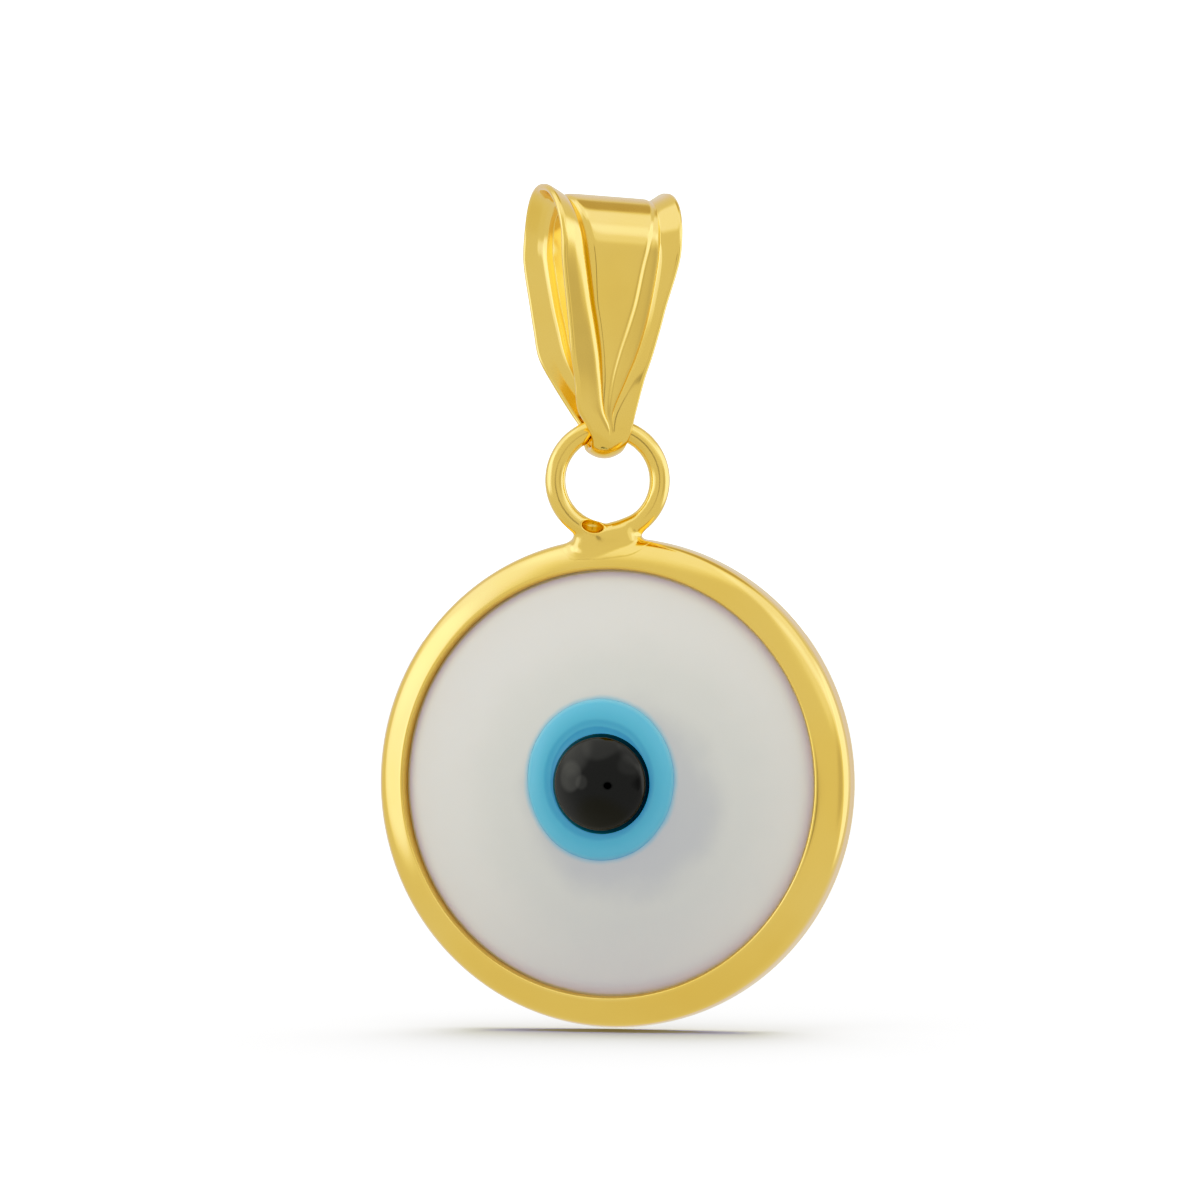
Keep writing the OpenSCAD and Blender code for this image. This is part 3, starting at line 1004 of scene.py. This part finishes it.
# The camera, at the photograph's viewing angle
CAMERA_AZIMUTH = 17.0
CAMERA_ELEVATION = 0.0
CAMERA_AWAY = 300.0
PIXELS_PER_MM = 37.7
IMAGE_W = 1200
LOOK_AT = np.array([-0.203, -0.462, -10.54])
CAMERA_ROLL = math.radians(1)


def camera():
    data = bpy.data.cameras.new("camera")
    data.sensor_fit = "HORIZONTAL"
    data.lens = data.sensor_width * CAMERA_AWAY * PIXELS_PER_MM / IMAGE_W
    data.clip_start = 0.01
    data.clip_end = 20.0
    thing = bpy.data.objects.new("camera", data)
    back = towards(CAMERA_AZIMUTH, CAMERA_ELEVATION)
    thing.location = (Vector(LOOK_AT) + back * CAMERA_AWAY) * MM
    thing.rotation_mode = "QUATERNION"
    level = (-back).to_track_quat("-Z", "Y").to_matrix()
    thing.rotation_quaternion = (level @ Matrix.Rotation(-CAMERA_ROLL, 3, "Z")).to_quaternion()
    bpy.context.scene.collection.objects.link(thing)
    bpy.context.scene.camera = thing


# The studio round the pendant: name, azimuth, elevation, half its width, softness of its
# edge, all in degrees, and the light that it adds to the even level or takes away. The camera
# sees a plain white backdrop in its place
STUDIO = [
    ("left panel", -66, 10, 22, 8, (0.47, 0.47, 0.47)),
    ("left panel's bright side", -64, 6, 16, 8, (0.17, 0.17, 0.17)),
    ("left panel's front edge", -42, 3, 13, 8, (0.38, 0.38, 0.38)),
    ("glow at the upper left", -72, 38, 20, 24, (0.5, 0.5, 0.5)),
    ("ceiling", -30, 76, 28, 12, (0.35, 0.35, 0.35)),
    ("dark ceiling behind", 160, 62, 14, 9, (-0.25, -0.32, -0.45)),
    ("upper right panel", 58, 32, 17, 10, (0.2, 0.2, 0.2)),
    ("upper right window", 86, 48, 26, 12, (0.33, 0.33, 0.33)),
    ("right panel's top", 84, 22, 10, 8, (0.3, 0.3, 0.3)),
    ("gap at the right", 68, -2, 9, 12, (-0.18, -0.18, -0.18)),
    ("right panel", 115, 5, 28, 10, (0.65, 0.65, 0.65)),
    ("lens", 17, -5, 7, 8, (-0.42, -0.42, -0.42)),
    ("warm table", -20, -68, 36, 30, (-0.04, -0.055, -0.13)),
]
STUDIO_LEVEL = 0.8
BACKDROP = (2.0, 2.0, 2.0, 1.0)


# The tone of the print: light below the first shows black, above the second white, and
# pairs between them of light and how bright it shows
BLACK_TONE = 0.02
WHITE_TONE = 1.3
TONE_CURVE = [(0.2, 0.18), (0.45, 0.43), (0.65, 0.63), (0.8, 0.755), (0.957, 0.865), (1.127, 0.95)]
BLUE_CURVE = [
    (0.05, 0.045), (0.1, 0.085), (0.13, 0.132), (0.165, 0.21), (0.22, 0.285), (0.3, 0.34),
    (0.42, 0.405), (0.5, 0.465), (0.57, 0.54), (0.64, 0.62), (0.75, 0.74), (0.85, 0.845),
]


def studio_light():
    world = bpy.data.worlds.new("studio")
    bpy.context.scene.world = world
    world.use_nodes = True
    tree = world.node_tree
    nodes, links = tree.nodes, tree.links
    direction = nodes.new("ShaderNodeTexCoord").outputs["Generated"]
    total = None
    for name, azimuth, elevation, half, soft, light in STUDIO:
        facing = nodes.new("ShaderNodeVectorMath")
        facing.label = name
        facing.operation = "DOT_PRODUCT"
        facing.inputs[1].default_value = towards(azimuth, elevation)
        links.new(direction, facing.inputs[0])
        edge = nodes.new("ShaderNodeMapRange")
        edge.interpolation_type = "SMOOTHSTEP"
        edge.inputs["From Min"].default_value = math.cos(math.radians(half + soft / 2))
        edge.inputs["From Max"].default_value = math.cos(math.radians(half - soft / 2))
        links.new(facing.outputs["Value"], edge.inputs["Value"])
        glow = nodes.new("ShaderNodeVectorMath")
        glow.operation = "SCALE"
        glow.inputs[0].default_value = light
        links.new(edge.outputs["Result"], glow.inputs["Scale"])
        added = nodes.new("ShaderNodeVectorMath")
        added.inputs[1].default_value = (STUDIO_LEVEL,) * 3
        links.new(glow.outputs["Vector"], added.inputs[0])
        if total is not None:
            links.new(total, added.inputs[1])
        total = added.outputs["Vector"]
    path = nodes.new("ShaderNodeLightPath")
    seen = nodes.new("ShaderNodeMix")
    seen.data_type = "RGBA"
    links.new(path.outputs["Is Camera Ray"], seen.inputs["Factor"])
    links.new(total, seen.inputs[6])
    seen.inputs[7].default_value = BACKDROP
    links.new(seen.outputs[2], nodes["Background"].inputs["Color"])
    nodes["Background"].inputs["Strength"].default_value = 1.0


def open_floor_light():
    """The mean light on the bare floor from the studio's upper half."""
    elevation = np.radians(np.arange(1, 90, 2))
    azimuth = np.radians(np.arange(0, 360, 4))
    e, a = np.meshgrid(elevation, azimuth, indexing="ij")
    sky = np.stack([np.sin(a) * np.cos(e), -np.cos(a) * np.cos(e), np.sin(e)], -1)
    light = np.full(e.shape, STUDIO_LEVEL)
    for _, lobe_azimuth, lobe_elevation, half, soft, added in STUDIO:
        facing = sky @ np.array(towards(lobe_azimuth, lobe_elevation))
        low, high = (math.cos(math.radians(half + side * soft / 2)) for side in (1, -1))
        light += smooth_step(low, high, facing) * np.mean(added)
    weight = np.sin(e) * np.cos(e)
    return (light * weight).sum() / weight.sum()


def print_tone():
    """The photograph's contrast: its darkest tones sink and its brightest ones roll off."""
    view = bpy.context.scene.view_settings
    view.view_transform = "Standard"
    view.use_curve_mapping = True
    tone = view.curve_mapping
    tone.black_level = (BLACK_TONE, BLACK_TONE, BLACK_TONE)
    tone.white_level = (WHITE_TONE, WHITE_TONE, WHITE_TONE)
    for light, shown in TONE_CURVE:
        tone.curves[3].points.new((light - BLACK_TONE) / (WHITE_TONE - BLACK_TONE), shown)
    for plain, shown in BLUE_CURVE:
        tone.curves[2].points.new(plain, shown)
    tone.update()


# The floor: how far it lies under the rim, its fall towards the camera, how far behind the
# rim it turns level, how far it reaches, the light that it throws back, and how bright it
# shows against the print's white
FLOOR_GAP = 0.11
FLOOR_FALL = math.radians(3.8)
FLOOR_LEVEL = 9.0
FLOOR_REACH = 3000.0
FLOOR_BOUNCE = 0.7
FLOOR_SHOWN = 1.05


def floor():
    """A level floor that falls away a little towards the camera, as a sheet of card does."""
    front = towards(CAMERA_AZIMUTH, 0)
    right = Vector((-front.y, front.x, 0.0))
    level = setting_low[2] - FLOOR_GAP
    points = []
    for ahead in [-FLOOR_REACH, -FLOOR_LEVEL, FLOOR_REACH]:
        fall = math.tan(FLOOR_FALL) * max(ahead, -FLOOR_LEVEL)
        for beside in (-FLOOR_REACH, FLOOR_REACH):
            place = front * ahead + right * beside
            points.append((disc_x + place.x, hang[1] + place.y, level - fall))
    faces = [(i, i + 1, i + 3, i + 2) for i in range(0, len(points) - 2, 2)]
    thing = mesh_object("floor", points, faces, pale_floor())
    thing.visible_glossy = False
    return thing


# The lamp overhead: where it stands, in degrees, how wide it looks, and the light that it
# lays on a level floor
LAMP_AZIMUTH = 190
LAMP_ELEVATION = 84
LAMP_SOFT = math.radians(60)
LAMP_LIGHT = 2.4


def overhead_lamp(lit):
    """A wide soft lamp overhead for the floor alone, which lays the shadow under the rim."""
    lamp = bpy.data.lights.new("overhead lamp", "SUN")
    lamp.angle = LAMP_SOFT
    lamp.energy = LAMP_LIGHT * math.pi / math.sin(math.radians(LAMP_ELEVATION))
    thing = bpy.data.objects.new("overhead lamp", lamp)
    thing.rotation_mode = "QUATERNION"
    thing.rotation_quaternion = towards(LAMP_AZIMUTH, LAMP_ELEVATION).to_track_quat("Z", "Y")
    thing.visible_glossy = False
    bpy.context.scene.collection.objects.link(thing)
    receivers = bpy.data.collections.new("lit by the overhead lamp")
    receivers.objects.link(lit)
    thing.light_linking.receiver_collection = receivers


camera()
studio_light()
print_tone()
overhead_lamp(floor())

ring_gold = polished_gold("Polished gold of the setting", 0.1, 0.18, 900.0)
bail_gold = polished_gold("Polished gold of the bail", 0.1, 0.18, 1200.0)
finish_piece(bail(bail_gold), "bail", "bail")
finish_piece(rim(ring_gold), "drop", "setting")
finish_piece(ring_and_solder(ring_gold), "drop", "setting")
finish_piece(white_disc(white_glass()), "drop", "glass_disc")
finish_piece(iris(blue_glass()), "drop", "iris")
finish_piece(pupil(black_glass()), "drop", "pupil")
